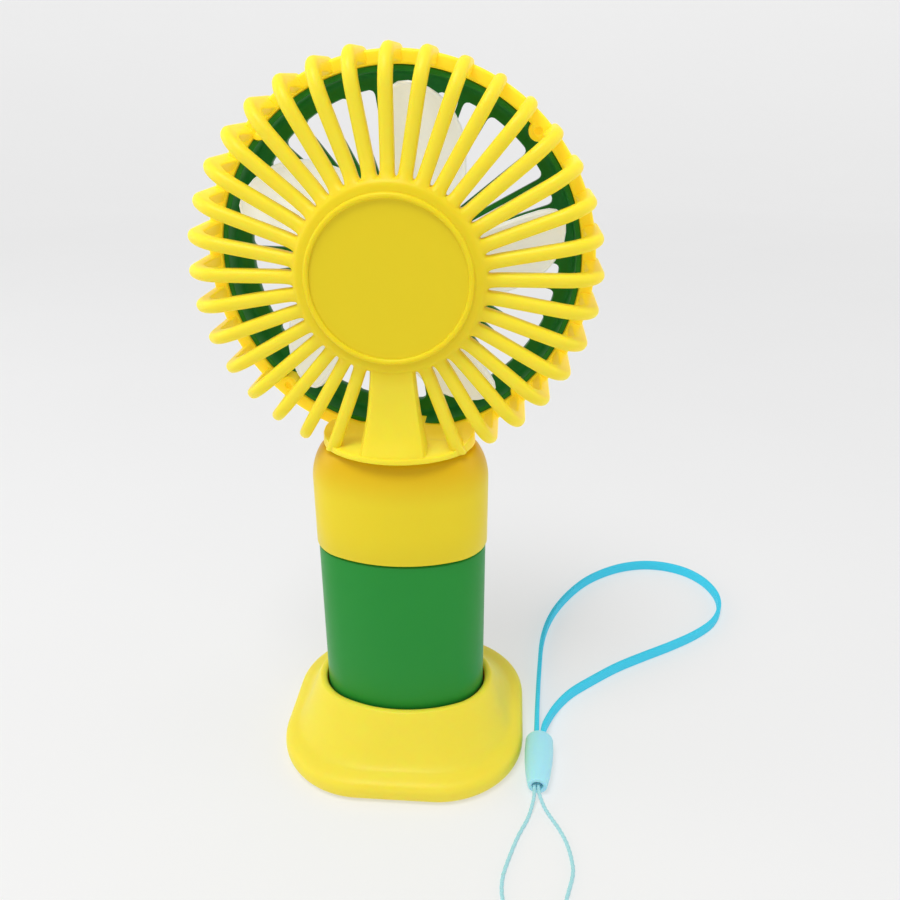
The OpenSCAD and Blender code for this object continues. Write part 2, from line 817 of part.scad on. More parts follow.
module battery_cell() {
    color([0.2, 0.35, 0.75]) translate([0, cell_y, 0]) {
        rod(cell_r, cell_low_z, cell_top_z - 0.8);
        rod(cell_r - 0.7, cell_top_z - 0.8 - eps, cell_top_z - 0.5);
        rod(3, cell_top_z - 0.5 - eps, cell_top_z);
    }
}

module battery_tabs() {
    color(steel) for (z = [cell_low_z - 0.3, cell_top_z])
        translate([0, cell_y, z]) {
            rod(3.4, 0, 0.3);
            translate([z > 40 ? 0 : -6.5, -5.4, 0]) cube([6.5, 3, 0.3]);
        }
}

module circuit_board() {
    color([0.1, 0.35, 0.25]) difference() {
        translate([-board_w / 2, board_front_y, board_low_z])
            cube([board_w, board_rear_y - board_front_y, board_top_z - board_low_z]);
        for (z = [board_low_z + 3, board_top_z - 1.8 - 15])
            translate([-7.6, 0, z]) rotate([90, 0, 0]) rod(0.9, 0, 20);
    }
}

// Place across the board, height, width, height and thickness of each chip
chips = [
    [-3, 38, 5, 4, 1.5], [4, 40, 3, 3, 1], [-2, 60, 4, 5, 1.4], [5, 59, 3, 2.6, 1],
    [6, 33, 3.2, 3.2, 2.2]
];

module board_chips() {
    color(black) for (c = chips)
        translate([c[0], board_front_y - c[4] / 2, c[1]]) cube([c[2], c[4], c[3]], center = true);
}

module board_screws() {
    color(steel) for (z = [board_low_z + 3, board_top_z - 1.8 - 15])
        translate([-7.6, board_front_y - 0.8, z])
            rotate([-90, 0, 0]) screw(0.85, board_rear_y - board_front_y + 0.1, 1.5, 0.8);
}

module indicator_leds() {
    color("white") for (x = led_xs)
        translate([x, board_front_y - 0.4, led_z]) cube([1.6, 0.8, 0.9], center = true);
}

// Clear bar on the board's front with one rod for each lamp
module light_pipe() {
    color([0.9, 0.95, 0.95]) {
        translate([-8, board_front_y - 2.2, led_z - 1.2]) cube([16, 1.2, 2.4]);
        for (x = led_xs)
            translate([x, 0, led_z])
                rotate([90, 0, 0]) rod(pipe_r, -board_front_y + 2, abs(x) > 4 ? 11.1 : 11.6);
    }
}

module power_switch() {
    color(black) difference() {
        translate([-3, board_front_y - 1.2, button_z - 3]) cube([6, 1.2, 6]);
        translate([0, 0, button_z]) rotate([90, 0, 0]) rod(1.55, -board_front_y + 0.05, 12);
    }
}

module switch_plunger() {
    color("white") translate([0, 0, button_z])
        rotate([90, 0, 0]) rod(1.5, -board_front_y + 0.7, -plunger_face_y);
}

module button_cap() {
    color(yellow) translate([0, 0, button_z]) rotate([90, 0, 0]) {
        rod(button_r, -plunger_face_y + 0.5, -button_face_y - 0.4);
        translate([0, 0, -button_face_y - 0.4 - eps])
            cylinder(r1 = button_r, r2 = button_r - 0.4, h = 0.4 + eps);
        rod(button_r + 0.7, -plunger_face_y, -plunger_face_y + 0.8);
    }
}

module usb_shell() {
    color(steel) translate([0, board_front_y, usb_z]) rotate([90, 0, 0]) difference() {
        linear_extrude(4.6) rounded_plate(usb_w, usb_h, usb_h / 2 - eps);
        translate([0, 0, 0.6])
            linear_extrude(6) rounded_plate(usb_w - 0.6, usb_h - 0.6, usb_h / 2 - 0.3 - eps);
    }
}

module usb_tongue() {
    color(black) translate([0, board_front_y - 0.6, usb_z]) rotate([90, 0, 0])
        translate([-3.35, -0.35, 0]) cube([6.7, 0.7, 3.4]);
}

// ---- dock ----

module dock_form(levels, inset) {
    skin([
        for (level = levels)
            [for (t = half_steps(72))
                let (
                    foot = rounded_point(
                        t, dock_w - 2 * level[2], dock_d - 2 * level[2], dock_corner_r - level[2]),
                    out = inset - level[2],
                    lip = [0, grip_y] + oval_point(t, grip_a + out, grip_b + out, grip_end_r + out),
                    p = (1 - level[1]) * foot + level[1] * lip
                ) [p[0], p[1], level[0]]]
    ]);
}

module dock_base() {
    color(yellow) difference() {
        dock_form(dock_levels, collar_wall);
        difference() {
            dock_form(dock_hollow_levels, collar_wall);
            grip_prism(barrel_step - socket_gap - 1.8, -1, collar_z);
            for (x = [-1, 1], y = [-1, 1])
                translate([x * dock_screw_at, y * dock_screw_at, 0]) rod(2.4, -1, 12);
        }
        grip_prism(barrel_step - socket_gap, socket_floor_z, collar_z + 1);
        grip_prism(barrel_step - socket_gap - 2.4, -1, 2.3);
        for (x = [-1, 1], y = [-1, 1])
            translate([x * dock_screw_at, y * dock_screw_at, 0]) {
                rod(1 + fit_gap, -1, 7.4);
                rod(3, -1, 2.3);
            }
    }
}

module dock_cover() {
    color(yellow) difference() {
        translate([0, 0, dock_foot_z])
            linear_extrude(1.5)
                rounded_plate(dock_w - 7.6, dock_d - 7.6, dock_corner_r - 3.8);
        for (x = [-1, 1], y = [-1, 1])
            translate([x * dock_screw_at, y * dock_screw_at, 0]) {
                rod(1.2, -1, 5);
                rod(2.2, -1, dock_foot_z + 0.9);
            }
    }
}

module dock_screws() {
    color(steel) for (x = [-1, 1], y = [-1, 1])
        translate([x * dock_screw_at, y * dock_screw_at, dock_foot_z]) screw(1, 5.4, 2, 0.85);
}

module dock_feet() {
    color([0.8, 0.8, 0.78]) for (x = [-1, 1], y = [-1, 1])
        translate([x * dock_screw_at, y * dock_screw_at, 0]) {
            cylinder(r1 = 3.6, r2 = 4, h = 0.3);
            rod(4, 0.3 - eps, dock_foot_z);
        }
}

// ---- wrist strap ----

bead_length = norm(bead_low - bead_top);

module strap_bead() {
    way = unit(bead_low - bead_top);
    color([0.62, 0.9, 0.93]) translate(bead_top)
        rotate([0, acos(way[2]), atan2(way[1], way[0])]) difference() {
            rotate_extrude() polygon([
                [0, 0], [3.2, 0], [3.7, 0.5], [3.86, 2], [3.85, 7], [3.6, 13],
                [3.1, 17.5], [2.6, 19.8], [2, bead_length], [0, bead_length]
            ]);
            rod(2.8, -1, 7.6);
            rod(1.5, bead_length - 4, bead_length + 1);
        }
}

module strap_ribbon() {
    color(cyan) sweep(ribbon_route, band_section(ribbon_w, ribbon_t), [0, 0, 1]);
}

module strap_string() {
    color([0.7, 0.92, 0.93]) sweep(finer(string_route), round_section(string_d / 2), [0, 0, 1]);
}

rear_grille();
rear_badge();
front_grille();
front_badge();
motor_can();
motor_end_cap();
motor_magnets();
motor_bushings();
motor_brushes();
motor_retainer();
retainer_screws();
motor_lead_red();
motor_lead_black();
impeller();
motor_shaft();
armature_core();
armature_windings();
commutator();
upper_shell();
barrel();
end_cap();
end_cap_screws();
chassis();
neck_screws();
battery_cell();
battery_tabs();
battery_lead_red();
battery_lead_black();
circuit_board();
board_chips();
board_screws();
indicator_leds();
light_pipe();
power_switch();
switch_plunger();
button_cap();
usb_shell();
usb_tongue();
dock_base();
dock_cover();
dock_feet();
dock_screws();
strap_bead();
strap_ribbon();
strap_string();
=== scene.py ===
import math
import bmesh
import bpy
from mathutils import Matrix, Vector


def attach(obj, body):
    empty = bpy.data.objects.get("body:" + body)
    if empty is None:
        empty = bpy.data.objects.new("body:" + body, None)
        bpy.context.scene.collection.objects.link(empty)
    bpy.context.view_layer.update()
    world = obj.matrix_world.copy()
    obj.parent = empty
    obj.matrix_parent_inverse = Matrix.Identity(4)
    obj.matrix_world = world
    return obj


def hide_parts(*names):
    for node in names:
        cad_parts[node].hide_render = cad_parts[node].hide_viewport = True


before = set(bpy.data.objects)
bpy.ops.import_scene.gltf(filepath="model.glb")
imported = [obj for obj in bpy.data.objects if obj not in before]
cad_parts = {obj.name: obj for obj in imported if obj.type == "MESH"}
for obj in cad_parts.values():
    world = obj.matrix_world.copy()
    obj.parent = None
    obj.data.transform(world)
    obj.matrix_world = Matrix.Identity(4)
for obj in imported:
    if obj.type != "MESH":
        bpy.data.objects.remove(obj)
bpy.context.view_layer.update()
mm = 0.001

# ---- the table ----
# A light table: one sheet of matt opal acrylic that curves up into a wall all round, so that no
# edge shows behind the fan. It glows evenly enough to leave only a faint shade under things,
# a little less in the middle and much less towards the wall's top.


class Wire:
    """One value in a material. Arithmetic on it adds Math nodes; node() adds any other kind."""

    def __init__(self, socket):
        self.socket = socket

    def node(self, kind, settings, sockets, out=0):
        tree = self.socket.id_data
        made = tree.nodes.new(kind)
        for name, value in settings.items():
            if name == "stops":
                ramp = made.color_ramp.elements
                while len(ramp) < len(value):
                    ramp.new(1)
                for element, (place, colour) in zip(ramp, value):
                    element.position = place
                    element.color = colour
            else:
                setattr(made, name, value)
        feed(made, sockets)
        return Wire(made.outputs[out])

    def math(self, operation, first, second):
        return self.node("ShaderNodeMath", {"operation": operation}, {0: first, 1: second})

    def __add__(self, other):
        return self.math("ADD", self, other)

    def __sub__(self, other):
        return self.math("SUBTRACT", self, other)

    def __rsub__(self, other):
        return self.math("SUBTRACT", other, self)

    def __mul__(self, other):
        return self.math("MULTIPLY", self, other)

    __radd__ = __add__
    __rmul__ = __mul__


def feed(node, sockets):
    """Sets a node's inputs, each to a value or to a wire from another node."""
    for name, value in sockets.items():
        if isinstance(value, Wire):
            node.id_data.links.new(value.socket, node.inputs[name])
        else:
            node.inputs[name].default_value = value


def new_finish(name, sockets):
    """A new material, its shader with the sockets set, and a wire with the place on the piece."""
    material = bpy.data.materials.new(name)
    material.use_nodes = True
    shader = material.node_tree.nodes["Principled BSDF"]
    feed(shader, sockets)
    place = Wire(material.node_tree.nodes.new("ShaderNodeTexCoord").outputs["Object"])
    return material, shader, place


def speckle(place, scale, detail=2):
    """Soft random patches from 0 to 1; scale is how many there are in a metre."""
    return place.node(
        "ShaderNodeTexNoise", {}, {"Vector": place, "Scale": scale, "Detail": detail}
    )


def tint(mask, low, high):
    """The colour low where the mask is 0 and high where it is 1; low may also be a wire."""
    low = low if isinstance(low, Wire) else (*low, 1)
    return mask.node(
        "ShaderNodeMix", {"data_type": "RGBA"}, {0: mask, 6: low, 7: (*high, 1)}, out=2
    )


def axis(place, letter):
    """One coordinate of the place: X, Y or Z."""
    return place.node("ShaderNodeSeparateXYZ", {}, {"Vector": place}, out=letter)


def graded(value, start, end, kind="LINEAR"):
    """0 where the value is at start, 1 where it is at end, and even or smooth between them."""
    return value.node(
        "ShaderNodeMapRange", {"interpolation_type": kind}, {0: value, 1: start, 2: end}
    )


def piece(name, points, faces, sharp=35):
    """A new object with smooth faces and sharp edges where it turns by more than sharp degrees."""
    mesh = bpy.data.meshes.new(name)
    mesh.from_pydata(points, [], faces)
    build = bmesh.new()
    build.from_mesh(mesh)
    bmesh.ops.remove_doubles(build, verts=build.verts, dist=1e-7)
    bmesh.ops.recalc_face_normals(build, faces=build.faces)
    build.to_mesh(mesh)
    build.free()
    mesh.shade_smooth()
    mesh.set_sharp_from_angle(angle=math.radians(sharp))
    made = bpy.data.objects.new(name, mesh)
    bpy.context.scene.collection.objects.link(made)
    return made


def turned(name, profile, place, steps=96, sharp=35, closed=True):
    """A piece turned on a lathe from (radius, height) pairs; place sets each point in the fan."""
    count = len(profile)
    points = []
    for i in range(steps):
        turn = 2 * math.pi * i / steps
        points += [place(r * math.cos(turn), r * math.sin(turn), h) for r, h in profile]
    faces = [
        (i * count + j, i * count + (j + 1) % count,
         (i + 1) % steps * count + (j + 1) % count, (i + 1) % steps * count + j)
        for i in range(steps)
        for j in range(count if closed else count - 1)
    ]
    return piece(name, points, faces, sharp)


def table_point(x, y, height):
    return Vector((x, y, height))


table_flat = 1.1
table_bend = 0.7
table_line = [(0, 0), (table_flat * 0.5, 0)] + [
    (table_flat + table_bend * math.sin(turn), table_bend * (1 - math.cos(turn)))
    for turn in (math.radians(5 * i) for i in range(19))
] + [(table_flat + table_bend, 0.72)]
table = turned("table", table_line, table_point, steps=64, closed=False)
opal, opal_shader, opal_place = new_finish("opal acrylic", {
    "Roughness": 0.8, "Emission Strength": 0.59,
})
away = opal_place.node("ShaderNodeVectorMath", {"operation": "LENGTH"}, {0: opal_place}, out=1)
far = graded(away, 0.3, 1.7)
rise = graded(axis(opal_place, "Z"), 0.33, 0.7)
feed(opal_shader, {
    "Base Color": tint(speckle(opal_place, 9), (0.4, 0.4, 0.402), (0.42, 0.42, 0.422)),
    "Emission Color": (far * 0.2 + 0.8) * (1 - rise * 0.55),
})
table.data.materials.append(opal)

# ---- the light and the camera ----
# Soft round lamps in a white room. The strongest hangs high over the camera, two weaker ones
# stand left and right of the fan, and the room itself fills in the rest.


def lamp(name, place, aim, size, watts):
    data = bpy.data.lights.new(name, "AREA")
    data.shape = "DISK"
    data.size = size
    data.energy = watts
    made = bpy.data.objects.new(name, data)
    made.location = place
    made.rotation_mode = "QUATERNION"
    made.rotation_quaternion = (Vector(aim) - Vector(place)).to_track_quat("-Z", "Y")
    bpy.context.scene.collection.objects.link(made)


fan_middle = (0, 0, 0.09)
lamp("lamp above", (0.14, 0.3, 0.9), fan_middle, 0.4, 4.2)
lamp("lamp left", (0.75, 0, 0.4), fan_middle, 0.6, 1.2)
lamp("lamp right", (-0.8, 0, 0.4), fan_middle, 0.6, 0.8)
room = bpy.data.worlds.new("room")
room.use_nodes = True
feed(room.node_tree.nodes["Background"], {"Color": (1, 1, 1, 1), "Strength": 0.42})
bpy.context.scene.world = room
bpy.context.scene.view_settings.view_transform = "Standard"

camera = bpy.data.objects.new("camera", bpy.data.cameras.new("camera"))
camera.data.sensor_width = 36
camera.data.lens = 33.27
camera.data.clip_start = 0.01
camera.location = (-0.0255, 0.1873, 0.1703)
camera.rotation_mode = "QUATERNION"
camera.rotation_quaternion = Vector((0.065, -0.9093, -0.411)).to_track_quat("-Z", "Y")
bpy.context.scene.collection.objects.link(camera)
bpy.context.scene.camera = camera

# ---- the wrist strap's ribbon ----
# A flat tape of woven polyester, 3.4 mm wide, that lies on its edge: it leaves the bead,
# swings round in one wide loop and comes home to it. Both ends are glued inside the bead.

ribbon_w = 3.4
ribbon_t = 1.3
ribbon_route = [
    (-36.8, 14, 3.7), (-36.8, 7, 3.7), (-37.1, 0, 2.4), (-37.5, -8, 1.8), (-38.4, -22, 1.8),
    (-39.8, -37, 1.8), (-43.2, -50, 1.8), (-49, -62, 1.8), (-57, -73, 1.8), (-67, -81, 1.8),
    (-77, -85, 1.8), (-86, -85, 1.8), (-94, -81.5, 1.8), (-99.5, -75, 1.8),
    (-102, -66.5, 1.8), (-101, -58, 1.8), (-97, -50, 1.8), (-90, -43, 1.8),
    (-81, -36.5, 1.8), (-71.5, -30.5, 1.8), (-62.5, -24.5, 1.8), (-54, -17.5, 1.8),
    (-47.5, -11.5, 1.8), (-43.2, -5.6, 1.8), (-40.4, 0.5, 2.4), (-38.6, 7, 3.7),
    (-38.2, 14, 3.7),
]


def smooth_line(route, between):
    """The route in metres, with a smooth curve of more points between each two."""
    spots = [Vector(p) * mm for p in route]
    line = []
    for i in range(len(spots) - 1):
        before, start, end, after = (
            spots[max(i - 1, 0)], spots[i], spots[i + 1], spots[min(i + 2, len(spots) - 1)]
        )
        for k in range(between):
            t = k / between
            line.append(0.5 * (
                2 * start + (end - before) * t
                + (2 * before - 5 * start + 4 * end - after) * t ** 2
                + (3 * start - before - 3 * end + after) * t ** 3
            ))
    return line + [spots[-1]]


def line_length(line):
    return sum((b - a).length for a, b in zip(line, line[1:]))


def rounded(corners, steps=4):
    """A closed outline in which each corner (x, y, radius) is an arc of that radius."""
    outline = []
    for before, here, after in zip(corners[-1:] + corners, corners, corners[1:] + corners[:1]):
        corner, radius = Vector(here[:2]), here[2]
        back = (Vector(before[:2]) - corner).normalized()
        ahead = (Vector(after[:2]) - corner).normalized()
        half = back.angle(ahead) / 2
        centre = corner + (back + ahead).normalized() * radius / math.sin(half)
        first = corner + back * radius / math.tan(half) - centre
        last = corner + ahead * radius / math.tan(half) - centre
        turn = math.atan2(first.x * last.y - first.y * last.x, first.dot(last))
        start = math.atan2(first.y, first.x)
        outline += [
            (centre.x + radius * math.cos(start + turn * i / steps),
             centre.y + radius * math.sin(start + turn * i / steps))
            for i in range(steps + 1)
        ]
    return outline


def lofted(name, rings, sharp=35, closed=False):
    """A skin over rings of points. closed joins the last to the first; or else both are capped."""
    count = len(rings[0])
    last = len(rings) if closed else len(rings) - 1
    faces = [
        (i * count + j, i * count + (j + 1) % count,
         (i + 1) % len(rings) * count + (j + 1) % count, (i + 1) % len(rings) * count + j)
        for i in range(last)
        for j in range(count)
    ]
    if not closed:
        faces += [tuple(range(count)), tuple(last * count + j for j in range(count))]
    return piece(name, [p for ring in rings for p in ring], faces, sharp)


def swept_rings(line, section, up):
    """Rings of a section carried along a line; section(i) gives its (side, up) pairs in mm."""
    rings = []
    for i, spot in enumerate(line):
        way = (line[min(i + 1, len(line) - 1)] - line[max(i - 1, 0)]).normalized()
        side = up.cross(way).normalized()
        top = way.cross(side)
        rings.append([spot + (side * u + top * v) * mm for u, v in section(i)])
    return rings


ribbon_line = smooth_line(ribbon_route, 7)
ribbon_outline = rounded([
    (-0.5 * ribbon_t, -0.5 * ribbon_w, 0.42), (0.5 * ribbon_t, -0.5 * ribbon_w, 0.42),
    (0.5 * ribbon_t, 0.5 * ribbon_w, 0.42), (-0.5 * ribbon_t, 0.5 * ribbon_w, 0.42),
], steps=3)
upright = Vector((0, 0, 1))
ribbon = lofted(
    "strap_ribbon_tape", swept_rings(ribbon_line, lambda i: ribbon_outline, upright), sharp=80
)
along = ribbon.data.attributes.new("along", "FLOAT", "POINT")
travel = [line_length(ribbon_line[:i + 1]) for i in range(len(ribbon_line))]
along.data.foreach_set("value", [d for d in travel for _ in ribbon_outline])


def wave(value, pitch):
    """A ripple from 0 to 1 that repeats every pitch metres of the value."""
    return value.node(
        "ShaderNodeMath", {"operation": "SINE"}, {0: value * (math.tau / pitch)}
    ) * 0.5 + 0.5


def woven_finish(name, colour, dark, pitch, slope):
    """Woven polyester: two sets of fine slanting stitches that cross, over a soft sheen."""
    material, shader, place = new_finish(name, {
        "Roughness": 0.6, "Sheen Weight": 0.3, "Sheen Roughness": 0.4, "Sheen Tint": (*colour, 1),
    })
    run = place.node("ShaderNodeAttribute", {"attribute_name": "along"}, {}, out="Fac")
    height = axis(place, "Z")
    stitch = wave(run + height * slope, pitch) * wave(run - height * slope, pitch)
    fuzz = speckle(place, 3000)
    bump = place.node("ShaderNodeBump", {}, {
        "Strength": 0.6, "Distance": 0.0001, "Height": stitch + fuzz * 0.3
    })
    feed(shader, {"Base Color": tint(stitch * 0.7 + fuzz * 0.3, dark, colour), "Normal": bump})
    return material


ribbon_cyan = (0.05, 0.75, 0.98)
ribbon_finish = woven_finish("woven cyan tape", ribbon_cyan, (0.03, 0.63, 0.9), 0.0008, 0.8)
ribbon.data.materials.append(ribbon_finish)
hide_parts("strap_ribbon")
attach(ribbon, "strap")

# ---- the wrist strap's string ----
# A thin twisted polyester cord, about 1 mm thick, in a long loop that slips through a fan's
# bar or a phone's hole. Its two ends go into the bead's narrow end and are knotted there.

string_route = [
    (-35.8, 24.5, 2.9), (-35.8, 28, 2.7), (-35.2, 31, 1.4), (-34, 34.6, 0.6),
    (-31.6, 40, 0.5), (-29.4, 46.5, 0.5), (-28, 52, 0.5), (-28.1, 57, 0.5),
    (-29.6, 61, 0.5), (-32.6, 64, 0.5), (-36, 65, 0.5), (-39.2, 63.4, 0.5),
    (-41.4, 59.5, 0.5), (-43, 54.6, 0.5), (-44.4, 49.4, 0.5), (-44.3, 45.4, 0.5),
    (-43.4, 41, 0.5), (-41.8, 37, 0.5), (-39.8, 33.6, 0.7), (-38.2, 31, 1.4),
    (-37, 28, 2.7), (-36.9, 24.5, 2.9),
]
strands = 3
twist_step = math.radians(24)
string_line = smooth_line(string_route, 16)


def twisted_section(i):
    """Three plies side by side, turned a little further at each step along the string."""
    section = []
    for k in range(15):
        turn = math.tau * k / 15
        lobe = 0.44 + 0.06 * math.cos(strands * turn)
        section.append((
            lobe * math.cos(turn + i * twist_step), lobe * math.sin(turn + i * twist_step)
        ))
    return section


string = lofted(
    "strap_string_cord", swept_rings(string_line, twisted_section, upright), sharp=80
)
along = string.data.attributes.new("along", "FLOAT", "POINT")
travel = [line_length(string_line[:i + 1]) for i in range(len(string_line))]
along.data.foreach_set("value", [d for d in travel for _ in range(15)])
string_cyan = (0.5, 0.84, 0.88)
string.data.materials.append(
    woven_finish("twisted pale cord", string_cyan, (0.36, 0.72, 0.78), 0.0006, 1.2)
)
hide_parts("strap_string")
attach(string, "strap")

# ---- the wrist strap's bead ----
# A small barrel of pale cyan plastic, turned hollow: the ribbon's ends fill its wide mouth
# and the string leaves its narrow one. It is moulded in one piece with eased rims.

bead_top = Vector((-37.5, 10.3, 3.8))
bead_low = Vector((-36.6, 26.2, 3))
bead_length = (bead_low - bead_top).length
bead_turn = (bead_low - bead_top).to_track_quat("Z", "Y")


def in_bead(x, y, height):
    return (bead_top + bead_turn @ Vector((x, y, height))) * mm


bead_profile = rounded([
    (2.8, 0, 0.15), (3.4, 0, 0.15), (3.75, 0.6, 0.4), (3.86, 4, 4), (3.7, 8, 6),
    (3.2, 12.5, 5), (2.5, bead_length, 0.35), (1.5, bead_length, 0.2),
    (1.5, bead_length - 1.6, 0.1), (0.001, bead_length - 1.6, 0), (0.001, 5, 0), (2.8, 5, 0.1),
], steps=4)
bead = turned("strap_bead_barrel", bead_profile, in_bead, steps=64)


soak = {"Specular IOR Level": 0.2, "Subsurface Radius": (1.0, 0.6, 0.15)}


def moulded(name, colour, deep, roughness, grain=0.4, glow=0.0, reach=0.002, painted_glow=0.0,
            top=None):
    """Moulded plastic: its colour drifts a little, its gloss is uneven, and it has the fine
    grain of the mould. glow is the share of light that soaks in, reach is how deep, and lit
    is a painted glow that stands in for what thin milky plastic passes on from behind. top,
    as (colour, from height, to height), is a painted shade: what the colour turns to upwards."""
    material, shader, place = new_finish(name, {
        "Emission Color": (0.7, 0.8, 1, 1), "Emission Strength": painted_glow,
        "Subsurface Weight": glow, "Subsurface Scale": reach, **soak,
    })
    drift = speckle(place, 35, 3)
    patch = speckle(place, 420, 3)
    fine = speckle(place, 2600, 2)
    bump = place.node("ShaderNodeBump", {}, {
        "Strength": grain, "Distance": 0.00003, "Height": fine + patch * 0.6
    })
    tone = tint(drift * 0.8 + fine * 0.2, deep, colour)
    if top:
        tone = tint(graded(axis(place, "Z"), top[1], top[2], "SMOOTHSTEP"), tone, top[0])
    feed(shader, {
        "Base Color": tone,
        "Roughness": roughness - 0.05 + patch * 0.1,
        "Normal": bump,
    })
    return material


bead.data.materials.append(
    moulded("bead plastic", (0.42, 0.82, 0.94), (0.37, 0.78, 0.91), 0.36, glow=0.25)
)
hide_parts("strap_bead")
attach(bead, "strap")
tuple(ribbon_line[0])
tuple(string_line[0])

# ---- the rear grille ----
# The fan's yellow ABS back, moulded in one piece: a round hub, ribs that run out from it and
# bend forward over a ring, a flat duct for the motor's leads, and the neck's oval plate.

head_z = 130.4
hub_r = 21.1
rib_half = 1.5
rib_y = 11.8
rib_corner_at = 38
rib_corner_r = 8.3
rib_end_y = -9.8
rib_angles = [10 * i for i in range(-16, 17)]
ring_rear_y = -5.7
ring_front_y = -10.6
boss_angles = (47, 137, -47, -137)
neck_z = 89.1
grip_y = 2.6


def on_head(x, y, height):
    """A point round the fan's axis; height runs to the rear."""
    return Vector((x, height, head_z - y)) * mm


def clock(angle, radius, across, y):
    """A point on the head at an angle from the top, clockwise as seen from the rear."""
    turn = math.radians(angle)
    return Vector((
        across * math.cos(turn) - radius * math.sin(turn),
        y,
        head_z + radius * math.cos(turn) + across * math.sin(turn),
    )) * mm


def rib(name, angle, path, section):
    """A rib along (radius, y, inward radius, inward y) steps; section(radius) is its outline."""
    rings = [
        [clock(angle, r + across_r * depth, side, y + across_y * depth)
         for side, depth in section(r, i)]
        for i, (r, y, across_r, across_y) in enumerate(path)
    ]
    return lofted(name, rings, sharp=50)


def combined(base, others, operation):
    """base with the others fused to it, or cut out of it; the others are then gone."""
    group = bpy.data.collections.new("tools")
    for other in others:
        group.objects.link(other)
    change = base.modifiers.new("combine", "BOOLEAN")
    change.operation = operation
    change.solver = "MANIFOLD"
    change.operand_type = "COLLECTION"
    change.collection = group
    ready = base.evaluated_get(bpy.context.evaluated_depsgraph_get())
    mesh = bpy.data.meshes.new_from_object(ready)
    base.modifiers.clear()
    base.data = mesh
    mesh.set_sharp_from_angle(angle=math.radians(35))
    mesh.materials.clear()
    mesh.polygons.foreach_set("material_index", [0] * len(mesh.polygons))
    for other in others:
        bpy.data.objects.remove(other)
    bpy.data.collections.remove(group)
    return base


def rib_outline(half, depth, crown, heel=0.4):
    return rounded([
        (-half, 0, crown), (half, 0, crown), (half, depth, heel), (-half, depth, heel)
    ])


rear_path = [
    (r, min(13.5, rib_y + 1.65 * max(0, (24 - r) / 4) ** 1.5), 0, -1)
    for r in (19.5, 20.4, 21, 21.3, 21.7, 22.2, 23, 25, 28, 31, 34, 36.5)
]
rear_path += [
    (rib_corner_at + rib_corner_r * math.cos(t), rib_y - rib_corner_r * (1 - math.sin(t)),
     -math.cos(t), -math.sin(t))
    for t in (math.radians(90 - 10 * i) for i in range(10))
]
rear_path += [
    (rib_corner_at + rib_corner_r, y, -1, 0) for y in (0, -4, -8, rib_end_y + 0.3, rib_end_y)
]


def root_half(radius):
    """Half the width of a rib, which flares where it leaves the hub."""
    root = max(0.0, min(1.0, (22.2 - radius) / 1.1))
    return rib_half + 0.34 * (1 - math.sqrt(1 - root * root))


def rear_section(radius, i):
    """The rib's outline, which narrows towards its tip."""
    share = i / (len(rear_path) - 1)
    slim = 0.22 * max(0.0, share - 0.4) / 0.6
    ease = 0.25 if i == len(rear_path) - 1 else 0
    half = root_half(radius) - slim - ease
    return rib_outline(half, 3 + max(0.0, share - 0.45) * 1.8 - ease, min(1.3, half - 0.05))


root_steps = 10
neck_path = rear_path[:root_steps] + [
    (r, y, 0, -1) for r, y in ((34, 11.8), (37, 11.8), (39.5, 11.85), (41.5, 11.8),
                               (43, 11.5), (45, 10.9))
]


def neck_section(radius, i):
    """The outline of the two lowest ribs, which run straight into the neck and spread there."""
    spread = 0.2 * max(0.0, (radius - 37) / 8) ** 2
    return rib_outline(root_half(radius) + spread, 3, 1.2)


rear_ribs = [rib(f"rib {a}", a, rear_path, rear_section) for a in rib_angles]
rear_ribs += [rib(f"neck rib {a}", a, neck_path, neck_section) for a in (-160, 160)]

bead_at = 17.7
bead_r = 0.66
hub_profile = [(0, 12.9), (10.8, 12.9), (10.8, -0.6), (12.4, -0.6), (12.4, 12.9), (19.3, 12.9),
               (19.3, 8.4), (20.9, 8.4), (hub_r, 8.6), (hub_r, 12.1), (21, 12.5), (20.75, 12.95),
               (20.4, 13.3), (20, 13.5), (19.4, 13.62), (18.6, 13.66), (18.4, 13.72)]
hub_profile += [
    (bead_at + bead_r * math.cos(t), 13.8 + bead_r * math.sin(t))
    for t in (math.radians(15 + 15 * i) for i in range(11))
]
hub_profile += [(17.05, 13.7), (17.05, 13.5), (0, 13.5)]
rear_grille = turned("rear_grille_shell", hub_profile, on_head, steps=144)
rear_ring = turned("ring", rounded([
    (42.1, ring_front_y, 0.4), (45.2, ring_front_y, 0.4), (45.2, ring_rear_y, 0.7),
    (42.1, ring_rear_y, 0.5),
]), on_head, steps=180)


def boss_point(angle):
    def place(x, y, height):
        return clock(angle, 42.3 + x, y, height)
    return place


bosses = [
    turned("boss", [(0, ring_front_y), (2.1, ring_front_y), (2.2, ring_front_y + 0.2),
                    (2.2, ring_rear_y - 0.3), (1.9, ring_rear_y), (1.1, ring_rear_y),
                    (0.8, ring_rear_y - 0.25), (0.8, ring_rear_y - 0.7),
                    (0, ring_rear_y - 0.7)], boss_point(a), steps=32)
    for a in boss_angles
]


def dimple(angle):
    return turned("dimple", [(0, ring_rear_y - 0.7), (0.8, ring_rear_y - 0.7),
                             (0.8, ring_rear_y - 0.25), (1.3, ring_rear_y + 0.5),
                             (0, ring_rear_y + 0.5)], boss_point(angle), steps=32)


def block(name, low, high):
    """A plain box from corner to corner, used only to cut another piece."""
    corners = [Vector((x, y, z)) * mm for z in (low[2], high[2])
               for x, y in ((low[0], low[1]), (high[0], low[1]), (high[0], high[1]),
                            (low[0], high[1]))]
    return lofted(name, [corners[:4], corners[4:]])


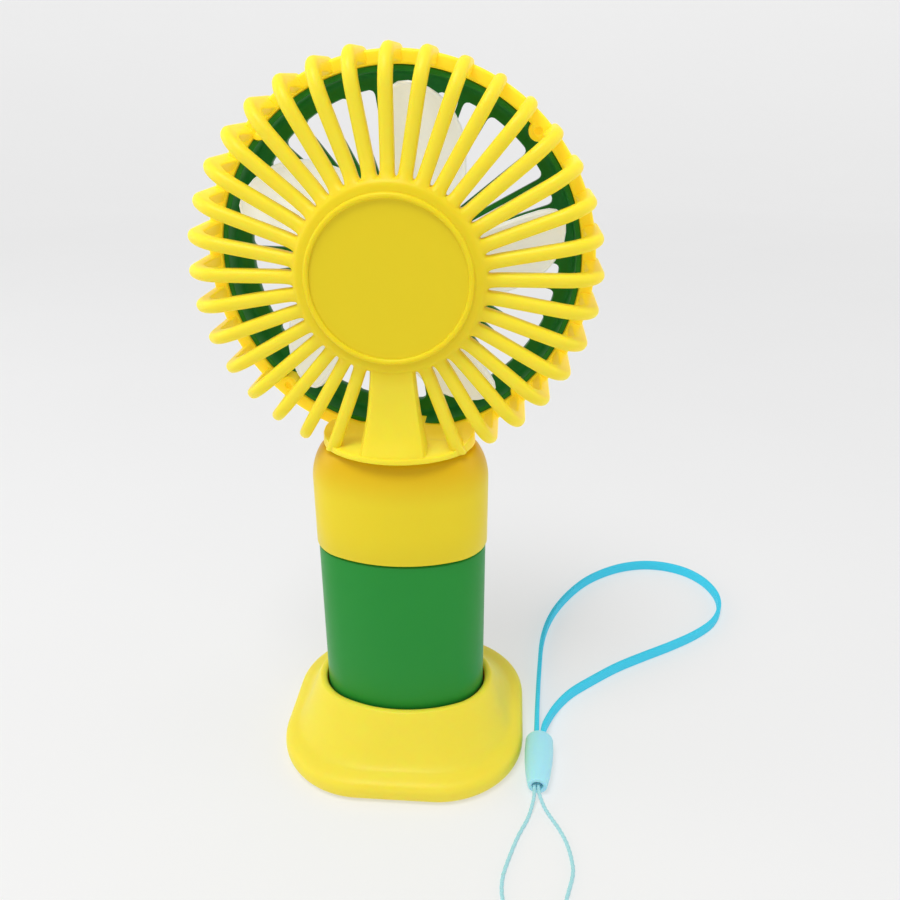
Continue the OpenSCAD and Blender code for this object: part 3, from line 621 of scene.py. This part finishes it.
combined(rear_grille, [rear_ring, *rear_ribs, *bosses], "UNION")
combined(rear_grille, [block("below neck", (-60, -60, 60), (60, 60, neck_z + 0.4))]
         + [dimple(a) for a in boss_angles], "DIFFERENCE")


def oval_point(turn, a, b, r):
    """The point of a four-arc oval, a by b with end radius r, whose normal stands at turn."""
    reach = a - r
    offset = (reach ** 2 - (b - r) ** 2) / (2 * (b - r))
    big, change = offset + b, math.atan2(offset, reach)
    c, s = math.cos(turn), math.sin(turn)
    if abs(c) >= math.cos(change):
        return math.copysign(reach, c) + r * c, r * s
    return big * c, big * s - math.copysign(offset, s)


def oval_ring(a, b, r, z, count=120):
    turns = (math.tau * (i + 0.5) / count for i in range(count))
    return [Vector((x, y + grip_y, z)) * mm
            for x, y in (oval_point(t, a, b, r) for t in turns)]


def duct_ring(z, rear, half, bulge):
    """One level of the duct: its rear face has rounded corners and bows as the neck does."""
    outline = [(0.2 - half, 8.6), (half - 0.2, 8.6)]
    for i in range(25):
        share = 1 - i / 12
        x = half * share
        edge = min(1, max(0, (abs(share) - 0.84) / 0.16))
        corner = 1.3 * (1 - math.sqrt(1 - edge * edge))
        outline.append((x, rear - bulge * x * x - corner))
    return [Vector((x, y, z)) * mm for x, y in outline]


duct_stops = [
    # height, rear face, half width, bow
    (89.2, 17.3, 8.1, 0.024), (90, 17.3, 7.8, 0.024), (90.6, 17.2, 7.65, 0.023),
    (91.6, 16.6, 7.5, 0.019), (93, 15.6, 7.3, 0.014), (95.5, 14.3, 6.85, 0.007),
    (99, 13.3, 6.2, 0.002), (103, 12.9, 5.7, 0), (108, 13, 5.2, 0), (113, 13.3, 4.9, 0),
]
duct = lofted("duct", [duct_ring(*stop) for stop in duct_stops], sharp=50)


def neck_ring(inset, z, end=13):
    return oval_ring(18.4 - inset, 15 - inset, end - inset, z)


neck = lofted("neck", [
    neck_ring(inset, z)
    for z, inset in ((89.1, 0.5), (89.18, 0.2), (89.4, 0), (90.2, 0), (90.5, 0.12), (90.6, 0.45))
])
spigot = lofted("spigot", [oval_ring(13, 8.6, 8, z) for z in (80.4, 89.6)])
cheeks = lofted("cheeks", [
    neck_ring(inset, z) for z, inset in ((89.4, 0.05), (91.6, 0.05), (92.2, 0.3), (92.5, 0.9))
])
drum = turned("drum", [(0, -30), (42.1, -30), (42.1, 30), (0, 30)], on_head, steps=180)
combined(neck, [block("step", (-30, -30, 89.8), (30, 3, 92))], "DIFFERENCE")
combined(cheeks, [drum, block("before ring", (-30, -30, 80), (30, ring_front_y, 99))],
         "DIFFERENCE")
combined(rear_grille, [duct, neck, spigot, cheeks], "UNION")

rib_painted_light_yellow = (0.9, 0.76, 0.045)
hub_yellow = (0.86, 0.66, 0.014)
yellow_plastic = moulded("yellow plastic", hub_yellow, (0.84, 0.63, 0.012), 0.42, grain=0.25,
                         glow=0.1)

# The thick hub is deeper in tone than the thin ribs: the ribs are painted a lighter yellow, a
# painted highlight for the light they catch from above and let through. Deep in the cage the
# yellow parts get a painted orange glow, in place of the light they bounce onto one another.
rib_plastic, rib_shader, rib_place = new_finish("thin yellow plastic", {
    "Subsurface Weight": 0.8, "Subsurface Scale": 0.0022, "Emission Strength": 1, **soak,
})
from_axis = rib_place.node("ShaderNodeVectorMath", {"operation": "SUBTRACT"}, {
    0: rib_place, 1: (0, 0, head_z * mm)
})
flat = from_axis.node("ShaderNodeVectorMath", {"operation": "MULTIPLY"}, {
    0: from_axis, 1: (1, 0, 1)
})
spread = flat.node("ShaderNodeVectorMath", {"operation": "LENGTH"}, {0: flat}, out=1)
# painted highlight: out past the hub the ribs take the lighter yellow
thin = graded(spread, 0.0195, 0.024)
# painted glow: orange light on the yellow parts deep in the cage, standing in for the light they
# bounce onto one another
cage_painted_glow_mask = graded(axis(rib_place, "Y"), 0.0115, 0.004)
rib_patch = speckle(rib_place, 420, 3)
rib_fine = speckle(rib_place, 2600)
feed(rib_shader, {
    "Emission Color": tint(cage_painted_glow_mask, (0, 0, 0), (0.24, 0.14, 0.004)),
    "Base Color": tint(thin * 0.92 + rib_patch * 0.08, hub_yellow, rib_painted_light_yellow),
    "Roughness": rib_patch * 0.1 + 0.35,
    "Normal": rib_place.node("ShaderNodeBump", {}, {
        "Strength": 0.35, "Distance": 0.00003, "Height": rib_fine + rib_patch * 0.6
    }),
})
rear_grille.data.materials.append(rib_plastic)
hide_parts("rear_grille")
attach(rear_grille, "handle")

# ---- the rear badge ----
# A plain round disc of the same yellow ABS, pressed into the seat inside the hub's raised
# bead. It is dished by a hair, so its shade changes slowly from edge to edge.

rear_badge = turned("rear_badge_disc", [
    (0, 13.3), (17.04, 13.3), (17.06, 13.72), (16.8, 13.7), (16.4, 13.69),
    (12, 13.67), (6, 13.65), (0, 13.64),
], on_head, steps=144)
rear_badge.data.materials.append(yellow_plastic)
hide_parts("rear_badge")
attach(rear_badge, "handle")

# ---- the front grille ----
# The green ABS front: a rounded rim whose skirt slides inside the yellow ring, thin ribs, and
# a round plate in the middle. It is moulded in one piece and snaps on by four pins.

front_y = -17.4
front_count = 36
rim_arc = [
    (37.6 + 7.4 * math.cos(t), -10 + 7.4 * math.sin(t))
    for t in (math.radians(-6 - 84 * i / 12) for i in range(13))
]
rim_profile = [(40.75, -6.6), (40.95, -6.4), (41.75, -6.4), (41.95, -6.6), (41.95, -10.65),
               (44.85, -10.65), *rim_arc, (37.9, front_y), (37.6, front_y + 0.12),
               (37.5, front_y + 0.4), (37.5, -15.4), (37.6, -15.12), (37.9, -15),
               (38.9, -14.85), (39.9, -14.4), (40.5, -13.7), (40.75, -12.8)]
front_grille = turned("front_grille_shell", rim_profile, on_head, steps=180)
front_plate = turned("front plate", rounded([
    (0.001, -15.2, 0), (13.6, -15.2, 0.5), (14, -18.2, 0.7), (12.1, -18.2, 0.2),
    (12, -17.4, 0.1), (0.001, -17.4, 0),
]), on_head, steps=144)
front_path = [
    (r, front_y, 0, 1)
    for r in (12.9, 13.8, 14.1, 14.5, 15, 16, 20, 25, 30, 34, 36, 36.5, 36.9, 37.2, 37.5, 38)
]


def front_section(radius, i):
    """The rib's outline, wider where it meets the rim."""
    root = max(0.0, min(1.0, (radius - 36) / 1.5))
    half = 0.6 + 1.3 * (1 - math.sqrt(1 - root * root))
    return rib_outline(half, 2.2, 0.5, 0.3)


front_ribs = [
    rib(f"front rib {i}", 360 * i / front_count + 1.5, front_path, front_section)
    for i in range(front_count)
]
combined(front_grille, [front_plate, *front_ribs], "UNION")
notches = [
    turned("notch", [(0, ring_front_y), (2.45, ring_front_y), (2.45, 0), (0, 0)],
           boss_point(a), steps=32)
    for a in boss_angles
]
neck_space = lofted("neck space", [oval_ring(18.8, 15.4, 13.4, z) for z in (70, 90)])
combined(front_grille, [*notches, neck_space], "DIFFERENCE")
combined(front_grille, [
    turned("pin", [(0, ring_front_y - 1), (1, ring_front_y - 1), (1, -7.5), (0.7, -7.2),
                   (0, -7.2)], boss_point(a), steps=24)
    for a in boss_angles
], "UNION")
grille_green = (0.014, 0.23, 0.026)
green_plastic = moulded("green plastic", grille_green, (0.011, 0.17, 0.021), 0.4, glow=0.05)
front_grille.data.materials.append(green_plastic)
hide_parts("front_grille")
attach(front_grille, "handle")

# ---- the front badge ----
# A shallow yellow dome glued into the middle of the green front. Nobody sees more than its
# edge from behind, and it carries no mark.

front_badge = turned("front_badge_dome", [
    (0, -17.42), (11.7, -17.42), (11.9, -17.6), (11.9, -18.1), (11.6, -18.35), (10, -18.6),
    (7, -18.85), (3.5, -19), (0, -19.05),
], on_head, steps=96)
front_badge.data.materials.append(yellow_plastic)
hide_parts("front_badge")
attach(front_badge, "handle")

# ---- the impeller ----
# Five broad flat paddles on a hollow hub, moulded in one piece of milky grey plastic. Each
# paddle is pitched about its own radius and has a thin raised rim round its edge.

blade_pitch = math.radians(26)
blade_outline = [
    (-0.9, 9), (-0.9, 16), (-0.9, 24), (-0.9, 31), (-0.75, 34), (-0.3, 36.3), (0.6, 37.8),
    (2.2, 38.7), (4.4, 38.8), (6.6, 38.3), (9, 37.3), (11.2, 35.9), (13.2, 34.1),
    (15, 31.8), (16.3, 29.2), (17.1, 26.4), (17.4, 23), (17.3, 19.6), (16.7, 16.4),
    (15.5, 13), (14.1, 10.4), (12.4, 8), (5.5, 6),
]
blade_rim = [(0, 0.4), (0.1, 0.66), (0.3, 0.78), (0.55, 0.74), (0.75, 0.5), (1.0, 0.36)]


def blade_point(angle, x, y, lift):
    """A point on a blade: y out from the axis, x across it, lift square to its face."""
    across = -x * math.cos(blade_pitch) - lift * math.sin(blade_pitch)
    rear = -x * math.sin(blade_pitch) + lift * math.cos(blade_pitch)
    return clock(angle, y, across, rear - 4.5)


def inset_outline(outline, by):
    """The outline moved inwards, square to its own edge at each point."""
    moved = []
    for before, here, after in zip(outline[-1:] + outline, outline, outline[1:] + outline[:1]):
        way = (Vector(after) - Vector(before)).normalized()
        moved.append((here[0] + way.y * by, here[1] - way.x * by))
    return moved


def blade(angle):
    levels = [(inset, lift) for inset, lift in reversed(blade_rim)]
    levels += [(inset, -lift) for inset, lift in blade_rim]
    rings = [
        [blade_point(angle, x, y, lift) for x, y in inset_outline(blade_outline, inset)]
        for inset, lift in levels
    ]
    return lofted(f"blade {angle}", rings, sharp=60)


impeller = turned("impeller_blades", [
    (0, -12.4), (10.5, -12.4), (12, -12.1), (12.8, -11.3), (13, -10.2), (13, -3.4),
    (12.8, -3.2), (11.6, -3.2), (11.6, -10.8), (4.4, -10.8), (4.4, -3.2), (1.02, -3.2),
    (1.02, -11.6), (0, -11.6),
], on_head, steps=96)
combined(impeller, [blade(72 * i - 2) for i in range(5)], "UNION")
# The impeller's plastic gets a painted glow, in place of the light that comes through the thin
# blades from behind.
impeller_plastic = moulded(
    "impeller plastic", (0.83, 0.88, 0.98), (0.8, 0.85, 0.95), 0.34, painted_glow=0.3
)
impeller.data.materials.append(impeller_plastic)
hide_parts("impeller")
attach(impeller, "rotor")

# ---- the handle's upper shell ----
# A yellow ABS sleeve with a rounded shoulder that closes the handle below the neck. It is
# moulded hollow, with a round hole for the button in its front, and a painted shade at the
# top: it turns deeper orange under the neck's lip, where the head's shadow falls.

seam_z = 62
shoulder_z = 79.7
shoulder_r = 15
shell_wall = 1.8


def grip_ring(z, inset):
    return oval_ring(21.8 - inset, 14.7 - inset, 12.5 - inset, z)


def shoulder_inset(z):
    if z <= shoulder_z:
        return 0
    return shoulder_r - math.sqrt(shoulder_r ** 2 - (z - shoulder_z) ** 2)


shell_levels = [
    (seam_z + 2, shell_wall), (seam_z + 0.2, shell_wall), (seam_z, 1.6), (seam_z, 0.3),
    (seam_z + 0.08, 0.1), (seam_z + 0.3, 0), (70, 0),
]
shell_levels += [(z, shoulder_inset(z)) for z in
                 (shoulder_z, 80.7, 81.7, 82.7, 83.7, 84.7, 85.5, 86.3, 87, 87.5)]
shell_levels += [(88.0, 2.62), (88.4, 3.05), (88.62, 3.5), (88.7, 4.1)]
shell_rings = [grip_ring(z, inset) for z, inset in shell_levels]
shell_rings += [oval_ring(13.2, 8.8, 8.2, z) for z in (88.7, 86.9)]
shell_rings += [grip_ring(86.9, 5), grip_ring(84, 3.2),
                grip_ring(shoulder_z, shell_wall)]
upper_shell = lofted("upper_shell_sleeve", shell_rings, closed=True)


def to_front(x, y, height):
    """A point round the button's axis; height runs out of the fan's front."""
    return Vector((x, -height, 71.5 + y)) * mm


button_hole = turned("button hole", [
    (0, 6), (5.62, 6), (5.62, 11.6), (5.75, 12), (6.1, 12.4), (6.1, 16), (0, 16)
], to_front, steps=64)
combined(upper_shell, [button_hole], "DIFFERENCE")
# top paints shade: the shoulder turns deeper orange under the neck's lip, where the head's shadow
# falls
shell_plastic = moulded("shell plastic", (0.88, 0.7, 0.022), (0.86, 0.67, 0.018), 0.36,
                        glow=0.25, top=((0.74, 0.46, 0.005), 0.077, 0.0875))
upper_shell.data.materials.append(shell_plastic)
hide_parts("upper_shell")
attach(upper_shell, "handle")

# ---- the barrel ----
# The green ABS tube that the hand holds, oval in plan, with the charging port and four small
# lamps in its front. Its top edge is eased where it meets the yellow sleeve.

barrel_inset = 0.4
barrel_levels = [(5.8, 2.2), (5.8, 0.7), (5.9, 0.48), (6.1, barrel_inset), (30, barrel_inset),
                 (60.8, barrel_inset), (61.15, 0.46), (61.35, 0.66), (61.45, 1), (61.45, 2.2)]
barrel = lofted("barrel_tube", [grip_ring(z, inset) for z, inset in barrel_levels], closed=True)
port_cut = lofted("port", [
    [Vector((x, -y, 27 + z)) * mm for x, z in rounded([
        (-4.67 - ease, -1.83 - ease, 1.75), (4.67 + ease, -1.83 - ease, 1.75),
        (4.67 + ease, 1.83 + ease, 1.75), (-4.67 - ease, 1.83 + ease, 1.75)])]
    for y, ease in ((8, 0), (11.3, 0), (11.6, 0.12), (11.9, 0.3), (14, 0.3))
])


def lamp_point(x0):
    def place(x, y, height):
        return Vector((x0 + x, -height, 50 + y)) * mm
    return place


lamp_cuts = [
    turned("lamp hole", [(0, 8), (0.86, 8), (0.86, 14), (0, 14)], lamp_point(x0), steps=24)
    for x0 in (-6, -2, 2, 6)
]
combined(barrel, [port_cut, *lamp_cuts], "DIFFERENCE")
barrel_green = (0.018, 0.29, 0.038)
barrel_plastic = moulded("barrel plastic", barrel_green, (0.015, 0.265, 0.034), 0.36, glow=0.3)
barrel.data.materials.append(barrel_plastic)
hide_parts("barrel")
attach(barrel, "handle")

# ---- the button ----
# A round yellow cap with a shallow dish for the thumb, moulded with the flange that keeps it
# in the sleeve. It presses the switch behind it.

button = turned("button_cap_dish", [
    (0, 8.6), (6.2, 8.6), (6.2, 9.4), (5.5, 9.4), (5.5, 12.5), (5.4, 12.8), (5.1, 13),
    (4.7, 13), (4.2, 12.9), (3, 12.72), (1.5, 12.62), (0, 12.6),
], to_front, steps=64)
button.data.materials.append(yellow_plastic)
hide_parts("button_cap")
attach(button, "button")

# ---- the dock ----
# A stand of lemon ABS, moulded hollow: a rounded square foot that sweeps up
# into an oval collar. The handle drops into the collar's socket.

dock_w = 65.9
dock_d = 63.9
dock_corner = 23.4
collar_wall = 2.4
dock_levels = [
    # height, share of the way from the foot to the collar, inset
    (0.7, 0, 1.3), (1.1, 0, 0.5), (1.9, 0, 0.1), (3, 0, 0), (4.4, 0, 0.2), (5.3, 0, 0.75),
    (5.9, 0.03, 1.3), (6.3, 0.1, 1.5), (6.6, 0.18, 1.55), (7, 0.27, 1.4), (7.8, 0.37, 1.2),
    (9.2, 0.49, 0.95), (11, 0.61, 0.7), (13, 0.73, 0.45), (15, 0.84, 0.2), (17, 0.94, 0.1),
    (17.9, 0.985, 0.1), (18.3, 1, 0.2), (18.6, 1, 0.45), (18.75, 1, 0.8), (18.8, 1, 1.2),
]


def rounded_square(turn, w, d, r):
    c, s = math.cos(turn), math.sin(turn)
    return (math.copysign(w / 2 - r, c) + r * c, math.copysign(d / 2 - r, s) + r * s)


def dock_ring(z, share, inset, count=144):
    """One level of the dock: share 0 is the square foot's outline, 1 the oval collar's."""
    ring = []
    for i in range(count):
        turn = math.tau * (i + 0.5) / count
        foot = rounded_square(turn, dock_w - 2 * inset, dock_d - 2 * inset, dock_corner - inset)
        out = collar_wall - inset
        lip = oval_point(turn, 21.8 + out, 14.7 + out, 12.5 + out)
        ring.append(Vector((
            foot[0] * (1 - share) + lip[0] * share,
            foot[1] * (1 - share) + (lip[1] + grip_y) * share,
            z,
        )) * mm)
    return ring


dock_rings = [dock_ring(2.4, 0, 3.6), dock_ring(0.9, 0, 3.6), dock_ring(0.7, 0, 3.3)]
for spot in smooth_line(dock_levels, 4):
    dock_rings.append(dock_ring(spot.x / mm, spot.y / mm, spot.z / mm))
dock_rings += [dock_ring(z, 1, inset) for z, inset in
               ((18.76, 1.6), (18.6, 1.95), (18.3, 2.25), (4, 2.25), (4, 4))]
dock = lofted("dock_stand", dock_rings)
dock_lemon = (0.9, 0.76, 0.07)
dock_plastic = moulded("lemon plastic", dock_lemon, (0.88, 0.735, 0.06), 0.42, glow=0.8,
                       reach=0.0022)
dock.data.materials.append(dock_plastic)
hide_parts("dock_base")
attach(dock, "dock")

# ---- the dock's underside ----
# A flat lemon cover screwed into the foot from below, on four soft rubber feet that keep the
# fan from sliding.

rubber = moulded("foot rubber", (0.5, 0.5, 0.48), (0.44, 0.44, 0.42), 0.75, grain=0.8)
screw_steel, steel_shader, steel_place = new_finish("screw steel", {"Metallic": 1})
brushed = steel_place.node("ShaderNodeTexNoise", {}, {
    "Vector": steel_place, "Scale": 5200, "Detail": 1
})
feed(steel_shader, {
    "Base Color": tint(brushed, (0.5, 0.51, 0.53), (0.66, 0.67, 0.69)),
    "Roughness": brushed * 0.2 + 0.2,
})


def dress(material, *names):
    """Gives a finish to CAD nodes that keep their own shape."""
    for name in names:
        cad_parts[name].material_slots[0].material = material


dress(dock_plastic, "dock_cover")
dress(rubber, "dock_feet")
dress(screw_steel, "dock_screws", "end_cap_screws", "neck_screws", "board_screws",
      "retainer_screws", "usb_shell", "motor_shaft", "battery_tabs")

# ---- the end cap ----
# The green plug that closes the barrel's lower end, held by two screws, with a bar moulded
# across a pocket for the wrist strap's string.

dress(barrel_plastic, "end_cap")

# ---- the motor ----
# A small brushed can motor in the hub's cup: a drawn steel can, a black end cap with its
# brushes and bronze bushings, ferrite magnets, and a laminated rotor wound with copper.

can_steel, can_shader, can_place = new_finish("drawn steel", {"Metallic": 1})
streak = speckle(can_place, 900, 3)
feed(can_shader, {
    "Base Color": tint(streak, (0.46, 0.47, 0.49), (0.62, 0.63, 0.65)),
    "Roughness": streak * 0.25 + 0.18,
})
laminated, lam_shader, lam_place = new_finish("laminated steel", {"Metallic": 1})
sheets = wave(axis(lam_place, "Y"), 0.0005)
feed(lam_shader, {
    "Base Color": tint(sheets, (0.2, 0.2, 0.21), (0.5, 0.5, 0.52)),
    "Roughness": 0.4 - sheets * 0.1,
})
copper, copper_shader, copper_place = new_finish("enamelled copper", {"Metallic": 1})
turns = wave(axis(copper_place, "X"), 0.0003)
feed(copper_shader, {
    "Base Color": tint(turns, (0.4, 0.16, 0.06), (0.78, 0.4, 0.18)),
    "Roughness": 0.38 - turns * 0.1,
})
ferrite = moulded("ferrite", (0.09, 0.09, 0.095), (0.06, 0.06, 0.065), 0.7, grain=0.9)
black_plastic = moulded("black plastic", (0.025, 0.025, 0.027), (0.018, 0.018, 0.02), 0.45)
dress(can_steel, "motor_can")
dress(laminated, "armature_core")
dress(copper, "armature_windings", "commutator", "motor_bushings", "motor_brushes")
dress(ferrite, "motor_magnets")
dress(black_plastic, "motor_end_cap", "power_switch", "usb_tongue", "board_chips")
# These parts share the impeller's plastic and so its painted glow.
dress(impeller_plastic, "motor_retainer", "chassis", "switch_plunger")

# ---- the cell, the board and the leads ----
# A sleeved lithium cell on a plastic chassis, a green circuit board with its chips, lamps and
# port, and four soft leads in red and black PVC.

sleeve = moulded("cell sleeve", (0.03, 0.12, 0.42), (0.025, 0.1, 0.36), 0.3, grain=0.2)
board, board_shader, board_place = new_finish("circuit board", {"IOR": 1.5})
tracks = board_place.node("ShaderNodeTexVoronoi", {"feature": "DISTANCE_TO_EDGE"}, {
    "Vector": board_place, "Scale": 260
})
line = tracks.node("ShaderNodeValToRGB", {
    "stops": [(0.0, (1, 1, 1, 1)), (0.06, (1, 1, 1, 1)), (0.09, (0, 0, 0, 1))]
}, {"Fac": tracks})
feed(board_shader, {
    "Base Color": tint(line, (0.01, 0.11, 0.05), (0.03, 0.2, 0.1)),
    "Roughness": line * 0.1 + 0.32,
})
milky = moulded("milky clear plastic", (0.8, 0.84, 0.84), (0.76, 0.8, 0.8), 0.2, grain=0.1,
                glow=0.4)
red_pvc = moulded("red lead", (0.5, 0.012, 0.01), (0.42, 0.01, 0.008), 0.42)
black_pvc = moulded("black lead", (0.02, 0.02, 0.02), (0.014, 0.014, 0.014), 0.42)
dress(sleeve, "battery_cell")
dress(board, "circuit_board")
dress(milky, "light_pipe", "indicator_leds")
dress(red_pvc, "motor_lead_red", "battery_lead_red")
dress(black_pvc, "motor_lead_black", "battery_lead_black")
